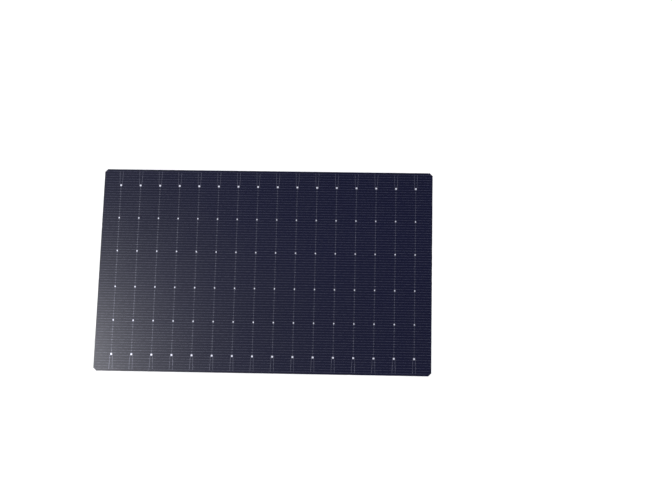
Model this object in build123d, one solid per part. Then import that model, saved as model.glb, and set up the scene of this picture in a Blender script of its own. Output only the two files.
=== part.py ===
"""Half-format silicon solar cell with sixteen busbars, printed alike on both faces.

A thin silicon wafer carries an insulating film on each face. Silver paste is printed
on both films: long thin fingers along X gather the current, busbars along Y lie across
them, square and oblong pads on the busbars take the solder, and a two-armed fork
leads from each end pad to the fingers beyond it. The part lies flat with its sunny
face up. The origin is under the wafer's centre, level with the undersides of the
rear prints. All four corners of the wafer carry the same small chamfer.
"""

import os

from build123d import *

# Wafer and films
WAFER_LENGTH = 182.0
WAFER_THICKNESS = 0.13
CORNER_CHAMFER = 1.6
FILM_THICKNESS = 0.004

# Fingers: the fine lines along X
FINGER_COUNT = 78
FINGER_PITCH = 1.436
FINGER_WIDTH = 0.05
FINGER_HEIGHT = 0.010
SHORT_EDGE_MARGIN = 0.4
LONG_EDGE_MARGIN = 1.3

# Busbars: the lines along Y that lie on the fingers, broken at each pad
BUSBAR_COUNT = 16
BUSBAR_PITCH = 10.9
BUSBAR_WIDTH = 0.05
BUSBAR_HEIGHT = 0.006

# Pads: six on each busbar, midway between two fingers
FINGERS_BETWEEN_PADS = 13
FINGERS_ACROSS_MIDDLE = 14
END_PAD_SIZE = (0.95, 0.95)
MIDDLE_PAD_SIZE = (0.60, 0.78)

# Forks: two arms from an end pad to the last finger
FORK_FINGERS = 6
FORK_ARM_WIDTH = 0.09
FORK_ROOT_OFFSET = 0.42
FORK_SHOULDER_OFFSET = 0.67
FORK_TIP_OFFSET = 0.90
FORK_OVERRUN = 0.15

# Worked out from the sizes above
wafer_width = (FINGER_COUNT - 1) * FINGER_PITCH + 2 * LONG_EDGE_MARGIN
pad_height = FINGER_HEIGHT + BUSBAR_HEIGHT
rear_face_z = pad_height
wafer_bottom_z = rear_face_z + FILM_THICKNESS
wafer_top_z = wafer_bottom_z + WAFER_THICKNESS
front_face_z = wafer_top_z + FILM_THICKNESS

inner_row = FINGERS_ACROSS_MIDDLE / 2 * FINGER_PITCH
row_step = FINGERS_BETWEEN_PADS * FINGER_PITCH
upper_rows = [inner_row + step * row_step for step in range(3)]
pad_rows = [-y for y in reversed(upper_rows)] + upper_rows
end_row = upper_rows[-1]

busbar_span = (BUSBAR_COUNT - 1) * BUSBAR_PITCH
busbar_places = [i * BUSBAR_PITCH - busbar_span / 2 for i in range(BUSBAR_COUNT)]
finger_span = (FINGER_COUNT - 1) * FINGER_PITCH
finger_places = [i * FINGER_PITCH - finger_span / 2 for i in range(FINGER_COUNT)]

ON_BASE = (Align.CENTER, Align.CENTER, Align.MIN)


def sheet(bottom, thickness):
    """A plate with the wafer's outline, a rectangle with chamfered corners."""
    outline = Rectangle(WAFER_LENGTH, wafer_width)
    outline = chamfer(outline.vertices(), CORNER_CHAMFER)
    return Pos(0, 0, bottom) * extrude(outline, thickness)


def fingers():
    """Every finger, as printed on a face at height zero."""
    line = Box(WAFER_LENGTH - 2 * SHORT_EDGE_MARGIN, FINGER_WIDTH, FINGER_HEIGHT, align=ON_BASE)
    return [Pos(0, y, 0) * line for y in finger_places]


def pad_size(row_y):
    """The length along X and the width along Y of the pads in one row."""
    if abs(row_y) == end_row:
        return END_PAD_SIZE
    return MIDDLE_PAD_SIZE


def pad_row(row_y):
    """The sixteen pads of one row."""
    pad = Box(*pad_size(row_y), pad_height, align=ON_BASE)
    return [Pos(x, row_y, 0) * pad for x in busbar_places]


def busbar():
    """One busbar at X zero: five lines from pad to pad, on top of the fingers."""
    lines = []
    for low_row, high_row in zip(pad_rows, pad_rows[1:]):
        start = low_row + pad_size(low_row)[1] / 2
        end = high_row - pad_size(high_row)[1] / 2
        line = Box(BUSBAR_WIDTH, end - start, BUSBAR_HEIGHT, align=ON_BASE)
        lines.append(Pos(0, (start + end) / 2, FINGER_HEIGHT) * line)
    return lines


def fork():
    """The two arms beyond the end pad at the +Y edge, for a busbar at X zero."""
    root_y = END_PAD_SIZE[1] / 2
    shoulder_y = FINGER_PITCH / 2
    tip_y = (FORK_FINGERS - 0.5) * FINGER_PITCH + FORK_OVERRUN
    centre_line = [
        (FORK_ROOT_OFFSET, root_y),
        (FORK_SHOULDER_OFFSET, shoulder_y),
        (FORK_TIP_OFFSET, tip_y),
    ]
    half = FORK_ARM_WIDTH / 2
    inner_side = [(x - half, y) for x, y in centre_line]
    outer_side = [(x + half, y) for x, y in reversed(centre_line)]
    outline = make_face(Polyline(*inner_side, *outer_side, close=True))
    right = Pos(0, end_row, FINGER_HEIGHT) * extrude(outline, BUSBAR_HEIGHT)
    return [right, mirror(right, about=Plane.YZ)]


def save(name, solids):
    """Write one node of one or more solids."""
    node = Compound(children=solids) if len(solids) > 1 else solids[0]
    node.label = name
    export_step(node, f"parts/{name}.step")


def on_face(side, solids):
    """Stand prints made at height zero on the front film, or hang them from the rear film."""
    if side == "front":
        return [Pos(0, 0, front_face_z) * piece for piece in solids]
    return [Pos(0, 0, rear_face_z) * mirror(piece, about=Plane.XY) for piece in solids]


def save_prints(side):
    """Every printed node of one face."""
    save(f"{side}_fingers", on_face(side, fingers()))
    for number, row_y in enumerate(reversed(pad_rows), start=1):
        save(f"{side}_pad_row_{number}", on_face(side, pad_row(row_y)))
    line = on_face(side, busbar())
    for number, x in enumerate(busbar_places, start=1):
        save(f"{side}_busbar_{number:02d}", [Pos(x, 0, 0) * piece for piece in line])
    arms = on_face(side, fork())
    far_edge = [Pos(x, 0, 0) * arm for x in busbar_places for arm in arms]
    near_edge = [mirror(arm, about=Plane.XZ) for arm in far_edge]
    save(f"{side}_forks_far_edge", far_edge)
    save(f"{side}_forks_near_edge", near_edge)


os.makedirs("parts", exist_ok=True)
save("silicon_wafer", [sheet(wafer_bottom_z, WAFER_THICKNESS)])
save("front_antireflection_film", [sheet(wafer_top_z, FILM_THICKNESS)])
save("rear_passivation_film", [sheet(rear_face_z, FILM_THICKNESS)])
save_prints("front")
save_prints("rear")
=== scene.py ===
"""A bare half-format silicon solar cell: dark coated faces with printed silver lines and pads.

Every printed line is modelled here as a low bead of fired paste with rounded shoulders, and
every pad as a thin plate with a soft rim. Each stands for the frame's plain solid of that
line or pad. The wafer and its two films keep their own shapes and get their finishes here.
All lengths are in metres unless a comment says otherwise.
"""

import math

import bmesh
import bpy
from mathutils import Matrix, Quaternion, Vector, noise


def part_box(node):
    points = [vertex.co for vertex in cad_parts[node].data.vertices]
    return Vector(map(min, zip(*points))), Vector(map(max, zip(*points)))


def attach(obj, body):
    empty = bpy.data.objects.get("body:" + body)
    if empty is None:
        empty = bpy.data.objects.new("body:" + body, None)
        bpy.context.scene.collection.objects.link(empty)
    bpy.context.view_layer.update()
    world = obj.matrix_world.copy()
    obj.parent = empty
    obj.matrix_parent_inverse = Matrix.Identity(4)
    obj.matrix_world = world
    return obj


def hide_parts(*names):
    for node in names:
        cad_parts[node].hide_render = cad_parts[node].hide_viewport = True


bl_info = {
    "name": "Bare solar cell",
    "version": (1, 0, 0),
    "blender": (4, 5, 0),
    "location": "3D Viewport > Sidebar > Solar cell",
    "description": "Models the printed faces of a bare half-format solar cell and its studio",
    "category": "Object",
}

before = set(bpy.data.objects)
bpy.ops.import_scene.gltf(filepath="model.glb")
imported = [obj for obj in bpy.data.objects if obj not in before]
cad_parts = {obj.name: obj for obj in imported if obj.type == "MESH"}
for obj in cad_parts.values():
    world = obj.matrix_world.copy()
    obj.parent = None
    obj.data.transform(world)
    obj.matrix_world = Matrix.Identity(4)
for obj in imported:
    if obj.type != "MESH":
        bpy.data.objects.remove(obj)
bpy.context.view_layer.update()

MM = 0.001
MICRON = 1e-6
BODY = "root"
SIDES = ("front", "rear")
BUSBARS = 16
PAD_ROWS = 6
FORK_EDGES = {"far_edge": 1, "near_edge": -1}  # and which way along Y each one lies


# ---------------------------------------------------------------- places read off the frame


def box_of(node):
    """The lowest and highest corner of a node."""
    low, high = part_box(node)
    return Vector(low), Vector(high)


def centre_of(node):
    """The middle of a node's box."""
    low, high = box_of(node)
    return (low + high) / 2


def face_height(side):
    """Where the prints of one face start, and which way they stand out from it."""
    if side == "front":
        return box_of("front_antireflection_film")[1].z, 1
    return box_of("rear_passivation_film")[0].z, -1


def busbar_places(side):
    """The X of every busbar on one face."""
    return [centre_of(f"{side}_busbar_{n:02d}").x for n in range(1, BUSBARS + 1)]


def row_places(side):
    """The Y of every row of pads, from the far edge to the near edge."""
    return [centre_of(f"{side}_pad_row_{n}").y for n in range(1, PAD_ROWS + 1)]


def pad_size(side, row):
    """The length along X and the width along Y of the pads in one row."""
    low, high = box_of(f"{side}_pad_row_{row}")
    places = busbar_places(side)
    return high.x - low.x - (places[-1] - places[0]), high.y - low.y


# ---------------------------------------------------------------- settings


class CellPrintSettings(bpy.types.PropertyGroup):
    """Sizes of the printed lines and pads."""

    finger_count: bpy.props.IntProperty(
        name="Fingers",
        description="Fine lines on each face",
        default=78,
        min=2,
    )
    finger_width: bpy.props.FloatProperty(
        name="Finger width",
        description="Width of a fine line at its foot",
        default=0.05 * MM,
        unit="LENGTH",
    )
    flare_width: bpy.props.FloatProperty(
        name="Flare width",
        description="Width of a finger where it meets a busbar",
        default=0.165 * MM,
        unit="LENGTH",
    )
    flare_length: bpy.props.FloatProperty(
        name="Flare length",
        description="How far from a busbar its fingers start to widen",
        default=0.5 * MM,
        unit="LENGTH",
    )
    finger_height: bpy.props.FloatProperty(
        name="Finger height",
        description="Height of a fine line above the film",
        default=0.010 * MM,
        unit="LENGTH",
    )
    busbar_width: bpy.props.FloatProperty(
        name="Busbar width",
        description="Width of a busbar line at its foot, between two flares",
        default=0.050 * MM,
        unit="LENGTH",
    )
    fork_width: bpy.props.FloatProperty(
        name="Fork arm width",
        description="Width of a fork arm at its foot",
        default=0.09 * MM,
        unit="LENGTH",
    )
    line_height: bpy.props.FloatProperty(
        name="Busbar height",
        description="Height of a busbar or fork arm above the film, between two fingers",
        default=0.011 * MM,
        unit="LENGTH",
    )
    pad_height: bpy.props.FloatProperty(
        name="Pad height",
        description="Height of a solder pad above the film",
        default=0.016 * MM,
        unit="LENGTH",
    )
    ripple: bpy.props.FloatProperty(
        name="Print ripple",
        description="How much a printed line sways and varies in height along it",
        default=0.12,
        subtype="FACTOR",
        min=0,
        max=1,
    )


class CellFinishSettings(bpy.types.PropertyGroup):
    """Colours of the films, the silver and the bare silicon."""

    front_tone: bpy.props.FloatVectorProperty(
        name="Sunny film",
        description="Colour of the anti-reflection film",
        default=(0.0016, 0.0023, 0.0205),
        subtype="COLOR",
        size=3,
    )
    front_tone_deep: bpy.props.FloatVectorProperty(
        name="Sunny film, deep",
        description="Colour of the anti-reflection film where it is thicker",
        default=(0.0010, 0.0017, 0.0175),
        subtype="COLOR",
        size=3,
    )
    rear_tone: bpy.props.FloatVectorProperty(
        name="Rear film",
        description="Colour of the rear film",
        default=(0.060, 0.063, 0.075),
        subtype="COLOR",
        size=3,
    )
    rear_tone_deep: bpy.props.FloatVectorProperty(
        name="Rear film, deep",
        description="Colour of the rear film where it is thicker",
        default=(0.045, 0.048, 0.060),
        subtype="COLOR",
        size=3,
    )
    finger_tone: bpy.props.FloatVectorProperty(
        name="Finger silver",
        description="Colour of the fired paste in the fingers",
        default=(0.266, 0.274, 0.323),
        subtype="COLOR",
        size=3,
    )
    busbar_tone: bpy.props.FloatVectorProperty(
        name="Busbar silver",
        description="Colour of the fired paste in the busbars and forks",
        default=(0.236, 0.242, 0.305),
        subtype="COLOR",
        size=3,
    )
    pad_tone: bpy.props.FloatVectorProperty(
        name="Pad silver",
        description="Colour of the fired paste in the solder pads",
        default=(0.66, 0.668, 0.79),
        subtype="COLOR",
        size=3,
    )
    silicon_tone: bpy.props.FloatVectorProperty(
        name="Bare silicon",
        description="Colour of the wafer's bare edges",
        default=(0.20, 0.21, 0.23),
        subtype="COLOR",
        size=3,
    )


class CellStudioSettings(bpy.types.PropertyGroup):
    """The camera, the floor and the lights."""

    azimuth: bpy.props.FloatProperty(
        name="Camera azimuth",
        description="Angle of the camera round the cell",
        default=math.radians(8.372),
        subtype="ANGLE",
    )
    elevation: bpy.props.FloatProperty(
        name="Camera elevation",
        description="Angle of the camera above the floor",
        default=math.radians(76.281),
        subtype="ANGLE",
    )
    roll: bpy.props.FloatProperty(
        name="Camera roll",
        description="Turn of the camera about its own axis",
        default=math.radians(-7.291),
        subtype="ANGLE",
    )
    aim: bpy.props.FloatVectorProperty(
        name="Camera aim",
        description="The point that the camera looks at",
        default=(38.42 * MM, 15.05 * MM, 0),
        subtype="TRANSLATION",
        unit="LENGTH",
        size=3,
    )
    distance: bpy.props.FloatProperty(
        name="Camera distance",
        description="Distance from the camera to the point it looks at",
        default=805.86 * MM,
        unit="LENGTH",
    )
    focal_length: bpy.props.FloatProperty(
        name="Focal length",
        description="Focal length in millimetres on a sensor 36 mm wide",
        default=78.83,
        subtype="NONE",
    )
    floor_tone: bpy.props.FloatVectorProperty(
        name="Floor",
        description="Colour of the floor",
        default=(0.90, 0.90, 0.90),
        subtype="COLOR",
        size=3,
    )
    sky_strength: bpy.props.FloatProperty(
        name="Soft sky",
        description="Strength of the broad soft light from the front right",
        default=3.3,
        min=0,
    )
    sheen_power: bpy.props.FloatProperty(
        name="Sheen light",
        description="Power of the light whose reflection brightens one corner of the cell",
        default=4.2,
        unit="POWER",
    )
    horizon_strength: bpy.props.FloatProperty(
        name="Room light, low",
        description="Strength of the room light near the horizon",
        default=1.0,
        min=0,
    )
    zenith_strength: bpy.props.FloatProperty(
        name="Room light, high",
        description="Strength of the room light overhead",
        default=0.14,
        min=0,
    )


SETTINGS = {
    "cell_prints": CellPrintSettings,
    "cell_finish": CellFinishSettings,
    "cell_studio": CellStudioSettings,
}


# ---------------------------------------------------------------- finishes

# Scales of the patterns, in steps per metre
FILM_DRIFT, FILM_GLOSS_DRIFT, FILM_GRAIN, FILM_TEXTURE = 14, 60, 2600, 9000
SILVER_WEAR, SILVER_PORES, SILVER_GRAIN = 700, 9000, 16000
EDGE_MARKS = 900
FLOOR_DRIFT = 3

FILM_GLOSS_SPAN = 0.008  # either side of the film's roughness
FILM_IOR = 1.5
GRAIN_SHARE = 0.35  # how far a grain goes towards the film's deep tone
SILVER_GLOSS_SPAN = 0.02
PORE_SHADE = 0.82  # of the silver's tone
MARK_SHADE = 0.6  # of the silicon's tone
MARK_STRETCH = (1, 1, 0.08)  # draws the marks out across the thin edge
SILICON_ROUGHNESS = (0.28, 0.45)
SILICON_METAL = 0.6
FLOOR_SHADE = 0.985  # of the floor's tone
FLOOR_ROUGHNESS = 0.9
FLOOR_SPECULAR = 0.1

FRONT_FILM_GLOSS = {"roughness": 0.265, "specular": 0.375}
REAR_FILM_GLOSS = {"roughness": 0.36, "specular": 0.35}
LINE_SILVER_GLOSS = {"roughness": 0.28, "metal": 0.65}
PAD_SILVER_GLOSS = {"roughness": 0.36, "metal": 0.45}


def shaded(tone, share):
    """A darker tone of the same hue."""
    return tuple(share * channel for channel in tone)


class NodeSheet:
    """A material's node tree, with short ways to add and join nodes."""

    def __init__(self, name):
        self.material = bpy.data.materials.get(name) or bpy.data.materials.new(name)
        self.material.use_nodes = True
        self.tree = self.material.node_tree
        self.tree.nodes.clear()
        output = self.tree.nodes.new("ShaderNodeOutputMaterial")
        self.shader = self.tree.nodes.new("ShaderNodeBsdfPrincipled")
        self.tree.links.new(self.shader.outputs["BSDF"], output.inputs["Surface"])
        self.place = self.tree.nodes.new("ShaderNodeTexCoord").outputs["Object"]

    def join(self, source, node, socket):
        """Lead one socket into a named socket of a node."""
        self.tree.links.new(source, node.inputs[socket])

    def noise(self, scale, detail=2.0, roughness=0.5, stretch=None):
        """Noise over Object coordinates; stretch squeezes or draws it out along each axis."""
        node = self.tree.nodes.new("ShaderNodeTexNoise")
        node.inputs["Scale"].default_value = scale
        node.inputs["Detail"].default_value = detail
        node.inputs["Roughness"].default_value = roughness
        source = self.place
        if stretch:
            mapping = self.tree.nodes.new("ShaderNodeMapping")
            mapping.inputs["Scale"].default_value = stretch
            self.join(self.place, mapping, "Vector")
            source = mapping.outputs["Vector"]
        self.join(source, node, "Vector")
        return node.outputs["Fac"]

    def speckle(self, scale):
        """A cell pattern over Object coordinates, as of packed grains."""
        node = self.tree.nodes.new("ShaderNodeTexVoronoi")
        node.inputs["Scale"].default_value = scale
        self.join(self.place, node, "Vector")
        return node.outputs["Distance"]

    def spread(self, source, low, high, source_low=0.3, source_high=0.7):
        """Stretch a pattern's middle values to a range of numbers."""
        node = self.tree.nodes.new("ShaderNodeMapRange")
        node.inputs["From Min"].default_value = source_low
        node.inputs["From Max"].default_value = source_high
        node.inputs["To Min"].default_value = low
        node.inputs["To Max"].default_value = high
        self.join(source, node, "Value")
        return node.outputs["Result"]

    def blend(self, factor, first, second):
        """A colour between two colours or colour sockets."""
        node = self.tree.nodes.new("ShaderNodeMix")
        node.data_type = "RGBA"
        node.clamp_factor = True
        colours = {"A": first, "B": second}
        self.tree.links.new(factor, node.inputs[0])
        for socket in (s for s in node.inputs if s.type == "RGBA"):
            value = colours[socket.name]
            if isinstance(value, bpy.types.NodeSocket):
                self.tree.links.new(value, socket)
            else:
                socket.default_value = (*value, 1.0)
        return next(s for s in node.outputs if s.type == "RGBA")

    def bump(self, height, strength, distance):
        """Raise the surface by a pattern, in the shading only."""
        node = self.tree.nodes.new("ShaderNodeBump")
        node.inputs["Strength"].default_value = strength
        node.inputs["Distance"].default_value = distance
        self.join(height, node, "Height")
        self.join(node.outputs["Normal"], self.shader, "Normal")


def film_finish(name, tone, deep_tone, roughness, specular):
    """A thin even coating: slow drifts of tone, fine grain and a satin gloss."""
    sheet = NodeSheet(name)
    drift = sheet.spread(sheet.noise(FILM_DRIFT, detail=3), 0, 1)
    body = sheet.blend(drift, tone, deep_tone)
    grain = sheet.spread(sheet.noise(FILM_GRAIN, detail=1), 0, GRAIN_SHARE)
    sheet.join(sheet.blend(grain, body, deep_tone), sheet.shader, "Base Color")
    gloss_drift = sheet.noise(FILM_GLOSS_DRIFT)
    gloss = sheet.spread(gloss_drift, roughness - FILM_GLOSS_SPAN, roughness + FILM_GLOSS_SPAN)
    sheet.join(gloss, sheet.shader, "Roughness")
    sheet.shader.inputs["IOR"].default_value = FILM_IOR
    sheet.shader.inputs["Specular IOR Level"].default_value = specular
    sheet.bump(sheet.speckle(FILM_TEXTURE), strength=0.04, distance=2 * MICRON)
    return sheet.material


def silver_finish(name, tone, roughness, metal):
    """Fired silver paste: a matt, porous, slightly uneven pale metal."""
    sheet = NodeSheet(name)
    pores = sheet.spread(sheet.noise(SILVER_PORES), 0, 1)
    sheet.join(sheet.blend(pores, tone, shaded(tone, PORE_SHADE)), sheet.shader, "Base Color")
    wear = sheet.noise(SILVER_WEAR)
    gloss = sheet.spread(wear, roughness - SILVER_GLOSS_SPAN, roughness + SILVER_GLOSS_SPAN)
    sheet.join(gloss, sheet.shader, "Roughness")
    sheet.shader.inputs["Metallic"].default_value = metal
    sheet.bump(sheet.noise(SILVER_GRAIN), strength=0.35, distance=3 * MICRON)
    return sheet.material


def silicon_finish(name, tone):
    """Bare crystalline silicon: dark, metallic, with fine marks across its thin edge."""
    sheet = NodeSheet(name)
    marks = sheet.spread(sheet.noise(EDGE_MARKS, detail=3, stretch=MARK_STRETCH), 0, 1)
    sheet.join(sheet.blend(marks, tone, shaded(tone, MARK_SHADE)), sheet.shader, "Base Color")
    gloss = sheet.spread(marks, *SILICON_ROUGHNESS, source_low=0, source_high=1)
    sheet.join(gloss, sheet.shader, "Roughness")
    sheet.shader.inputs["Metallic"].default_value = SILICON_METAL
    sheet.bump(marks, strength=0.3, distance=4 * MICRON)
    return sheet.material


def floor_finish(tone):
    """A plain matt floor with the faintest unevenness."""
    sheet = NodeSheet("studio_floor")
    drift = sheet.spread(sheet.noise(FLOOR_DRIFT), 0, 1)
    sheet.join(sheet.blend(drift, tone, shaded(tone, FLOOR_SHADE)), sheet.shader, "Base Color")
    sheet.shader.inputs["Roughness"].default_value = FLOOR_ROUGHNESS
    sheet.shader.inputs["Specular IOR Level"].default_value = FLOOR_SPECULAR
    return sheet.material


def coat(node, material):
    """Give a carried-over node its finish."""
    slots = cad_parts[node].data.materials
    slots.clear()
    slots.append(material)


# ---------------------------------------------------------------- shapes

SHOULDER = 0.9  # of a bead's height
FORK_ROOT = 0.44  # of the end pad's length, out from its middle
FORK_BEND = 0.52  # of the way out from an arm's root to its tip
CLIMB = 2  # of a finger's width, how far before and after it a line starts to climb
PAD_CORNER = 0.09 * MM
PAD_RIM = 0.010 * MM
FINGER_RIPPLE = 2.2 * MM  # length of a ripple
LINE_RIPPLE = 1.1 * MM
SWAY_X = Vector((31, 17, 5))  # where each direction of sway reads the noise
SWAY_Y = Vector((7, 43, 23))


def bead(length, width, height):
    """A mesh of one low bead along X from the origin: a flat top between rounded shoulders."""
    bm = bmesh.new()
    bmesh.ops.create_grid(bm, x_segments=1, y_segments=1, size=0.5)
    bmesh.ops.scale(bm, vec=(width, height, 1), verts=bm.verts[:])
    bmesh.ops.translate(bm, vec=(0, height / 2, 0), verts=bm.verts[:])
    shoulders = [v for v in bm.verts if v.co.y > height / 2]
    bmesh.ops.bevel(
        bm,
        geom=shoulders,
        offset=SHOULDER * height,
        segments=2,
        profile=0.5,
        affect="VERTICES",
        material=-1,
    )
    stand_up = Matrix(((0, 0, 1), (1, 0, 0), (0, 1, 0))).to_4x4()
    bmesh.ops.transform(bm, matrix=stand_up, verts=bm.verts[:])
    made = bmesh.ops.extrude_face_region(bm, geom=bm.faces[:])["geom"]
    far_end = [v for v in made if isinstance(v, bmesh.types.BMVert)]
    bmesh.ops.translate(bm, vec=(length, 0, 0), verts=far_end)
    bmesh.ops.recalc_face_normals(bm, faces=bm.faces[:])
    return bm


def cut_across(bm, axis, stations):
    """Cut a mesh square to one axis at each station."""
    for station in stations:
        everything = bm.verts[:] + bm.edges[:] + bm.faces[:]
        point, normal = [0, 0, 0], [0, 0, 0]
        point[axis], normal[axis] = station, 1
        bmesh.ops.bisect_plane(bm, geom=everything, dist=MICRON, plane_co=point, plane_no=normal)


def repeat(bm, places):
    """Put a copy of everything in a mesh at each place, and take the first away."""
    pattern_verts = bm.verts[:]
    pattern = pattern_verts + bm.edges[:] + bm.faces[:]
    for place in places:
        made = bmesh.ops.duplicate(bm, geom=pattern)["geom"]
        verts = [v for v in made if isinstance(v, bmesh.types.BMVert)]
        bmesh.ops.translate(bm, vec=place, verts=verts)
    bmesh.ops.delete(bm, geom=pattern_verts, context="VERTS")


def ripple_print(bm, amount, ripple_length, width):
    """Vary the height of a print and sway its sides a little, as paste does on a screen."""
    for vert in bm.verts:
        place = vert.co / ripple_length
        vert.co.z *= 1 + amount * noise.noise(place)
        vert.co.x += amount * width * noise.noise(place + SWAY_X)
        vert.co.y += amount * width * noise.noise(place + SWAY_Y)


def set_on_face(bm, side):
    """Move prints made at height zero onto the front film, or turn them over onto the rear one."""
    base, direction = face_height(side)
    if direction < 0:
        bmesh.ops.scale(bm, vec=(1, 1, -1), verts=bm.verts[:])
        bmesh.ops.reverse_faces(bm, faces=bm.faces[:])
    bmesh.ops.translate(bm, vec=(0, 0, base), verts=bm.verts[:])


def publish(bm, name, node, material):
    """Turn a mesh into a shown piece that stands for one node."""
    mesh = bpy.data.meshes.new(name)
    bm.to_mesh(mesh)
    bm.free()
    piece = bpy.data.objects.new(name, mesh)
    bpy.context.scene.collection.objects.link(piece)
    mesh.materials.append(material)
    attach(piece, BODY)
    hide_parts(node)
    return piece


def finger_rows(side, sizes):
    """The Y of every finger."""
    low, high = box_of(f"{side}_fingers")
    first_y = low.y + sizes.finger_width / 2
    pitch = (high.y - low.y - sizes.finger_width) / (sizes.finger_count - 1)
    return [first_y + n * pitch for n in range(sizes.finger_count)]


def finger_lines(side, sizes):
    """Every finger of one face: those that meet the busbars widen towards each of them."""
    low, high = box_of(f"{side}_fingers")
    rows = finger_rows(side, sizes)
    crossed = [x - low.x for x in busbar_places(side)]
    stations = [x + step * sizes.flare_length for x in crossed for step in (-1, 0, 1)]
    busbar_end = row_places(side)[0]
    flared = [y for y in rows if abs(y) < busbar_end]
    plain = [y for y in rows if abs(y) > busbar_end]
    whole = bmesh.new()
    for places, widest in ((flared, sizes.flare_width), (plain, sizes.finger_width)):
        finger = bead(high.x - low.x, sizes.finger_width, sizes.finger_height)
        cut_across(finger, 0, stations)
        for vert in finger.verts:
            if min(abs(vert.co.x - x) for x in crossed) < MICRON:
                vert.co.y *= widest / sizes.finger_width
        repeat(finger, [(low.x, y, 0) for y in places])
        merge_into(whole, finger)
    ripple_print(whole, sizes.ripple, FINGER_RIPPLE, sizes.finger_width)
    set_on_face(whole, side)
    return whole


def line_along_y(start, end, width, rows, sizes):
    """A bead from start to end along Y that climbs over each finger row it passes."""
    bm = bead(end - start, width, sizes.line_height)
    quarter_turn = Matrix.Rotation(math.pi / 2, 4, "Z")
    bmesh.ops.transform(bm, matrix=quarter_turn, verts=bm.verts[:])
    bmesh.ops.translate(bm, vec=(0, start, 0), verts=bm.verts[:])
    ramp = CLIMB * sizes.finger_width
    crossed = [y for y in rows if start + ramp < y < end - ramp]
    cut_across(bm, 1, [y + step for y in crossed for step in (-ramp, 0, ramp)])
    for vert in bm.verts:
        away = min(abs(vert.co.y - y) for y in crossed)
        if away < ramp / 2:
            vert.co.z *= sizes.pad_height / sizes.line_height
    return bm


def merge_into(target, source):
    """Add one mesh to another and free it."""
    spare = bpy.data.meshes.new("spare")
    source.to_mesh(spare)
    source.free()
    target.from_mesh(spare)
    bpy.data.meshes.remove(spare)


def busbar_line(side, sizes):
    """A busbar at X zero: five lines from pad to pad."""
    pad_places = row_places(side)
    fingers = finger_rows(side, sizes)
    whole = bmesh.new()
    for row in range(PAD_ROWS, 1, -1):
        start = pad_places[row - 1] + pad_size(side, row)[1] / 2
        end = pad_places[row - 2] - pad_size(side, row - 1)[1] / 2
        merge_into(whole, line_along_y(start, end, sizes.busbar_width, fingers, sizes))
    return whole


def fork_arms(side, edge, sizes):
    """Every fork along one long edge: two arms that leave an end pad and draw apart."""
    toward = FORK_EDGES[edge]
    low, high = box_of(f"{side}_forks_{edge}")
    places = busbar_places(side)
    fingers = finger_rows(side, sizes)
    length = high.y - low.y
    pad_length, pad_width = pad_size(side, 1)
    shoulder = (fingers[1] - fingers[0] - pad_width) / 2
    tip_offset = (high.x - low.x - (places[-1] - places[0]) - sizes.fork_width) / 2
    root_offset = FORK_ROOT * pad_length
    shoulder_offset = root_offset + (tip_offset - root_offset) * FORK_BEND
    root_y = low.y if toward > 0 else -high.y
    passed = [toward * y - root_y for y in fingers]
    arm = line_along_y(0, length, sizes.fork_width, passed, sizes)
    cut_across(arm, 1, [shoulder])
    for vert in arm.verts:
        if vert.co.y < shoulder:
            reach = vert.co.y / shoulder
            vert.co.x += root_offset + reach * (shoulder_offset - root_offset)
        else:
            reach = (vert.co.y - shoulder) / (length - shoulder)
            vert.co.x += shoulder_offset + reach * (tip_offset - shoulder_offset)
    other = arm.copy()
    bmesh.ops.scale(other, vec=(-1, 1, 1), verts=other.verts[:])
    bmesh.ops.reverse_faces(other, faces=other.faces[:])
    merge_into(arm, other)
    bmesh.ops.translate(arm, vec=(0, root_y, 0), verts=arm.verts[:])
    if toward < 0:
        bmesh.ops.scale(arm, vec=(1, -1, 1), verts=arm.verts[:])
        bmesh.ops.reverse_faces(arm, faces=arm.faces[:])
    repeat(arm, [(x, 0, 0) for x in places])
    ripple_print(arm, sizes.ripple, LINE_RIPPLE, sizes.fork_width)
    set_on_face(arm, side)
    return arm


def round_off(bm, edges, offset, segments):
    """Round some edges of a mesh."""
    bmesh.ops.bevel(
        bm,
        geom=edges,
        offset=offset,
        segments=segments,
        profile=0.5,
        affect="EDGES",
        material=-1,
    )


def pads(side, row, sizes):
    """One row of pads: thin rectangles with round corners and a soft upper rim."""
    length, width = pad_size(side, row)
    bm = bmesh.new()
    bmesh.ops.create_cube(bm, size=1)
    bmesh.ops.scale(bm, vec=(length, width, sizes.pad_height), verts=bm.verts[:])
    bmesh.ops.translate(bm, vec=(0, 0, sizes.pad_height / 2), verts=bm.verts[:])
    middle = sizes.pad_height / 2
    upright = [e for e in bm.edges if (e.verts[0].co.z > middle) != (e.verts[1].co.z > middle)]
    round_off(bm, upright, PAD_CORNER, segments=3)
    rim = [e for e in bm.edges if min(v.co.z for v in e.verts) > middle]
    round_off(bm, rim, PAD_RIM, segments=2)
    y = row_places(side)[row - 1]
    repeat(bm, [(x, y, 0) for x in busbar_places(side)])
    set_on_face(bm, side)
    return bm


# ---------------------------------------------------------------- operators


def prints():
    """The scene's print settings."""
    return bpy.context.scene.cell_prints


def finish():
    """The scene's finish settings."""
    return bpy.context.scene.cell_finish


def finger_silver():
    """The finish of the fingers."""
    return silver_finish("finger_silver", finish().finger_tone, **LINE_SILVER_GLOSS)


def busbar_silver():
    """The finish of the busbars and forks."""
    return silver_finish("busbar_silver", finish().busbar_tone, **LINE_SILVER_GLOSS)


def pad_silver():
    """The finish of the solder pads."""
    return silver_finish("pad_silver", finish().pad_tone, **PAD_SILVER_GLOSS)


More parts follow.
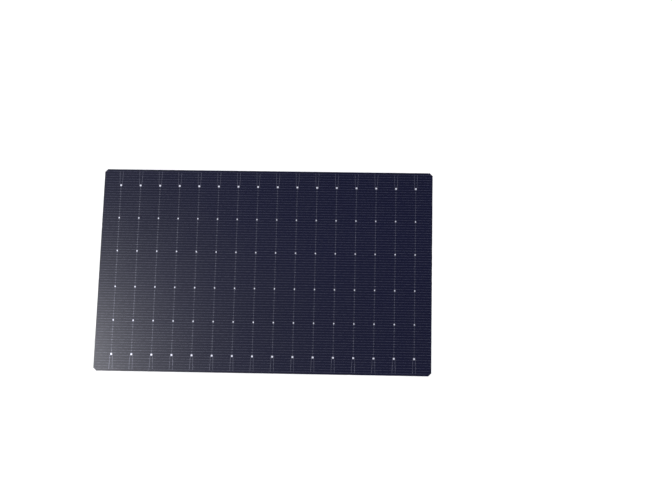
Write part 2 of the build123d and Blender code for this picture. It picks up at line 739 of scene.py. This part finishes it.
class CELL_OT_wafer(bpy.types.Operator):
    """Finish the silicon wafer and the film on each of its faces"""

    bl_idname = "cell.wafer"
    bl_label = "Wafer and films"
    bl_options = {"REGISTER", "UNDO"}

    def execute(self, context):
        tones = finish()
        silicon = silicon_finish("bare_silicon", tones.silicon_tone)
        front_tones = tones.front_tone, tones.front_tone_deep
        front_film = film_finish("front_film", *front_tones, **FRONT_FILM_GLOSS)
        rear_tones = tones.rear_tone, tones.rear_tone_deep
        rear_film = film_finish("rear_film", *rear_tones, **REAR_FILM_GLOSS)
        coat("silicon_wafer", silicon)
        coat("front_antireflection_film", front_film)
        coat("rear_passivation_film", rear_film)
        return {"FINISHED"}


class CELL_OT_fingers(bpy.types.Operator):
    """Print the fine fingers on both faces"""

    bl_idname = "cell.fingers"
    bl_label = "Fingers"
    bl_options = {"REGISTER", "UNDO"}

    def execute(self, context):
        silver = finger_silver()
        for side in SIDES:
            lines = finger_lines(side, prints())
            piece = publish(lines, f"{side}_finger_lines", f"{side}_fingers", silver)
        return {"FINISHED"}


class CELL_OT_busbars(bpy.types.Operator):
    """Print the sixteen busbars on both faces"""

    bl_idname = "cell.busbars"
    bl_label = "Busbars"
    bl_options = {"REGISTER", "UNDO"}

    def execute(self, context):
        silver = busbar_silver()
        sizes = prints()
        for side in SIDES:
            pattern = busbar_line(side, sizes)
            for number, x in enumerate(busbar_places(side), start=1):
                line = pattern.copy()
                bmesh.ops.translate(line, vec=(x, 0, 0), verts=line.verts[:])
                ripple_print(line, sizes.ripple, LINE_RIPPLE, sizes.busbar_width)
                set_on_face(line, side)
                name = f"{side}_busbar_line_{number:02d}"
                piece = publish(line, name, f"{side}_busbar_{number:02d}", silver)
            pattern.free()
        return {"FINISHED"}


class CELL_OT_forks(bpy.types.Operator):
    """Print the forked line ends along both long edges of both faces"""

    bl_idname = "cell.forks"
    bl_label = "Forked line ends"
    bl_options = {"REGISTER", "UNDO"}

    def execute(self, context):
        silver = busbar_silver()
        for side in SIDES:
            for edge in FORK_EDGES:
                arms = fork_arms(side, edge, prints())
                name = f"{side}_fork_lines_{edge}"
                piece = publish(arms, name, f"{side}_forks_{edge}", silver)
        return {"FINISHED"}


class CELL_OT_pads(bpy.types.Operator):
    """Print the rows of solder pads on both faces"""

    bl_idname = "cell.pads"
    bl_label = "Solder pads"
    bl_options = {"REGISTER", "UNDO"}

    def execute(self, context):
        silver = pad_silver()
        for side in SIDES:
            for row in range(1, PAD_ROWS + 1):
                name = f"{side}_solder_pads_{row}"
                node = f"{side}_pad_row_{row}"
                piece = publish(pads(side, row, prints()), name, node, silver)
        return {"FINISHED"}


# ---------------------------------------------------------------- studio

FLOOR_HALF_SIDE = 20
FLOOR_CUTS = 4
SKY_PLACE = (1.0, -0.35, 1.1)
SKY_ANGLE = math.radians(30)
SHEEN_PLACE = (-0.427, 0.064, 1.0)
SHEEN_SIZE = 0.06
SENSOR_WIDTH = 36  # millimetres
CLIP_START = 0.01

# Heights of the room light's three steps, as the sine of the angle above the horizon, and how
# much of the lowest and highest strengths together the middle one has
HORIZON_TOP, ROOM_MIDDLE, ZENITH_START = 0.08, 0.22, 0.75
ROOM_MIDDLE_SHARE = 0.25


def hang(data, place):
    """Hang a light at a place, turned towards the cell."""
    light = bpy.data.objects.new(data.name, data)
    light.location = place
    light.rotation_mode = "QUATERNION"
    light.rotation_quaternion = (-Vector(place)).to_track_quat("-Z", "Y")
    bpy.context.scene.collection.objects.link(light)


def room_light(horizon, zenith):
    """An even white room, bright at the sides and dim overhead."""
    world = bpy.data.worlds.new("studio_room")
    world.use_nodes = True
    nodes, links = world.node_tree.nodes, world.node_tree.links
    direction = nodes.new("ShaderNodeTexCoord").outputs["Generated"]
    split = nodes.new("ShaderNodeSeparateXYZ")
    links.new(direction, split.inputs["Vector"])
    fade = nodes.new("ShaderNodeFloatCurve")
    curve = fade.mapping.curves[0]
    curve.points[0].location = (HORIZON_TOP, horizon)
    curve.points[1].location = (ZENITH_START, zenith)
    curve.points.new(ROOM_MIDDLE, (horizon + zenith) * ROOM_MIDDLE_SHARE)
    for point in curve.points:
        point.handle_type = "VECTOR"
    fade.mapping.extend = "HORIZONTAL"
    fade.mapping.update()
    links.new(split.outputs["Z"], fade.inputs["Value"])
    room = nodes["Background"]
    room.inputs["Color"].default_value = (1, 1, 1, 1)
    links.new(fade.outputs["Value"], room.inputs["Strength"])
    return world


class CELL_OT_studio(bpy.types.Operator):
    """Set the floor, the soft lights and the camera"""

    bl_idname = "cell.studio"
    bl_label = "Studio"
    bl_options = {"REGISTER", "UNDO"}

    def execute(self, context):
        scene = context.scene
        self.lay_floor(scene, scene.cell_studio)
        self.hang_lights(scene, scene.cell_studio)
        self.place_camera(scene, scene.cell_studio)
        return {"FINISHED"}

    def lay_floor(self, scene, studio):
        """Lay a broad floor at height zero."""
        bm = bmesh.new()
        bmesh.ops.create_grid(
            bm, x_segments=FLOOR_CUTS, y_segments=FLOOR_CUTS, size=FLOOR_HALF_SIDE
        )
        mesh = bpy.data.meshes.new("studio_floor")
        bm.to_mesh(mesh)
        bm.free()
        mesh.materials.append(floor_finish(studio.floor_tone))
        floor = bpy.data.objects.new("studio_floor", mesh)
        scene.collection.objects.link(floor)

    def hang_lights(self, scene, studio):
        """Hang a broad soft light and a small one that shines off the cell, and light the room."""
        sky = bpy.data.lights.new("soft_sky", "SUN")
        sky.energy = studio.sky_strength
        sky.angle = SKY_ANGLE
        hang(sky, SKY_PLACE)
        sheen = bpy.data.lights.new("sheen_light", "AREA")
        sheen.size = SHEEN_SIZE
        sheen.energy = studio.sheen_power
        hang(sheen, SHEEN_PLACE)
        scene.world = room_light(studio.horizon_strength, studio.zenith_strength)
        scene.view_settings.view_transform = "Standard"

    def place_camera(self, scene, studio):
        """Point the camera at its aim from the azimuth and elevation set."""
        turn, rise = studio.azimuth, studio.elevation
        level = math.cos(rise)
        back = Vector((math.sin(turn) * level, -math.cos(turn) * level, math.sin(rise)))
        data = bpy.data.cameras.new("studio_camera")
        data.sensor_width = SENSOR_WIDTH
        data.lens = studio.focal_length
        data.clip_start = CLIP_START
        camera = bpy.data.objects.new("studio_camera", data)
        camera.location = Vector(studio.aim) + back * studio.distance
        camera.rotation_mode = "QUATERNION"
        looking = (-back).to_track_quat("-Z", "Y")
        camera.rotation_quaternion = looking @ Quaternion((0, 0, 1), studio.roll)
        scene.collection.objects.link(camera)
        scene.camera = camera


OPERATORS = (
    CELL_OT_wafer,
    CELL_OT_fingers,
    CELL_OT_busbars,
    CELL_OT_forks,
    CELL_OT_pads,
    CELL_OT_studio,
)


class CELL_PT_build(bpy.types.Panel):
    """Lists the steps that make the cell, with their settings"""

    bl_idname = "CELL_PT_build"
    bl_label = "Solar cell"
    bl_space_type = "VIEW_3D"
    bl_region_type = "UI"
    bl_category = "Solar cell"

    def draw(self, context):
        for operator in OPERATORS:
            self.layout.operator(operator.bl_idname)
        for name, settings in SETTINGS.items():
            group = getattr(context.scene, name)
            column = self.layout.box().column()
            for key in settings.__annotations__:
                column.prop(group, key)


CLASSES = (*SETTINGS.values(), *OPERATORS, CELL_PT_build)


def register():
    """Register the classes and hang their settings on the scene."""
    for cls in CLASSES:
        bpy.utils.register_class(cls)
    for name, settings in SETTINGS.items():
        setattr(bpy.types.Scene, name, bpy.props.PointerProperty(type=settings))


def unregister():
    """Take the settings off the scene and the classes out again."""
    for name in SETTINGS:
        delattr(bpy.types.Scene, name)
    for cls in reversed(CLASSES):
        bpy.utils.unregister_class(cls)


def main():
    """Build the cell and its studio."""
    register()
    bpy.ops.cell.wafer()
    bpy.ops.cell.fingers()
    bpy.ops.cell.busbars()
    bpy.ops.cell.forks()
    bpy.ops.cell.pads()
    bpy.ops.cell.studio()


if __name__ == "__main__":
    main()
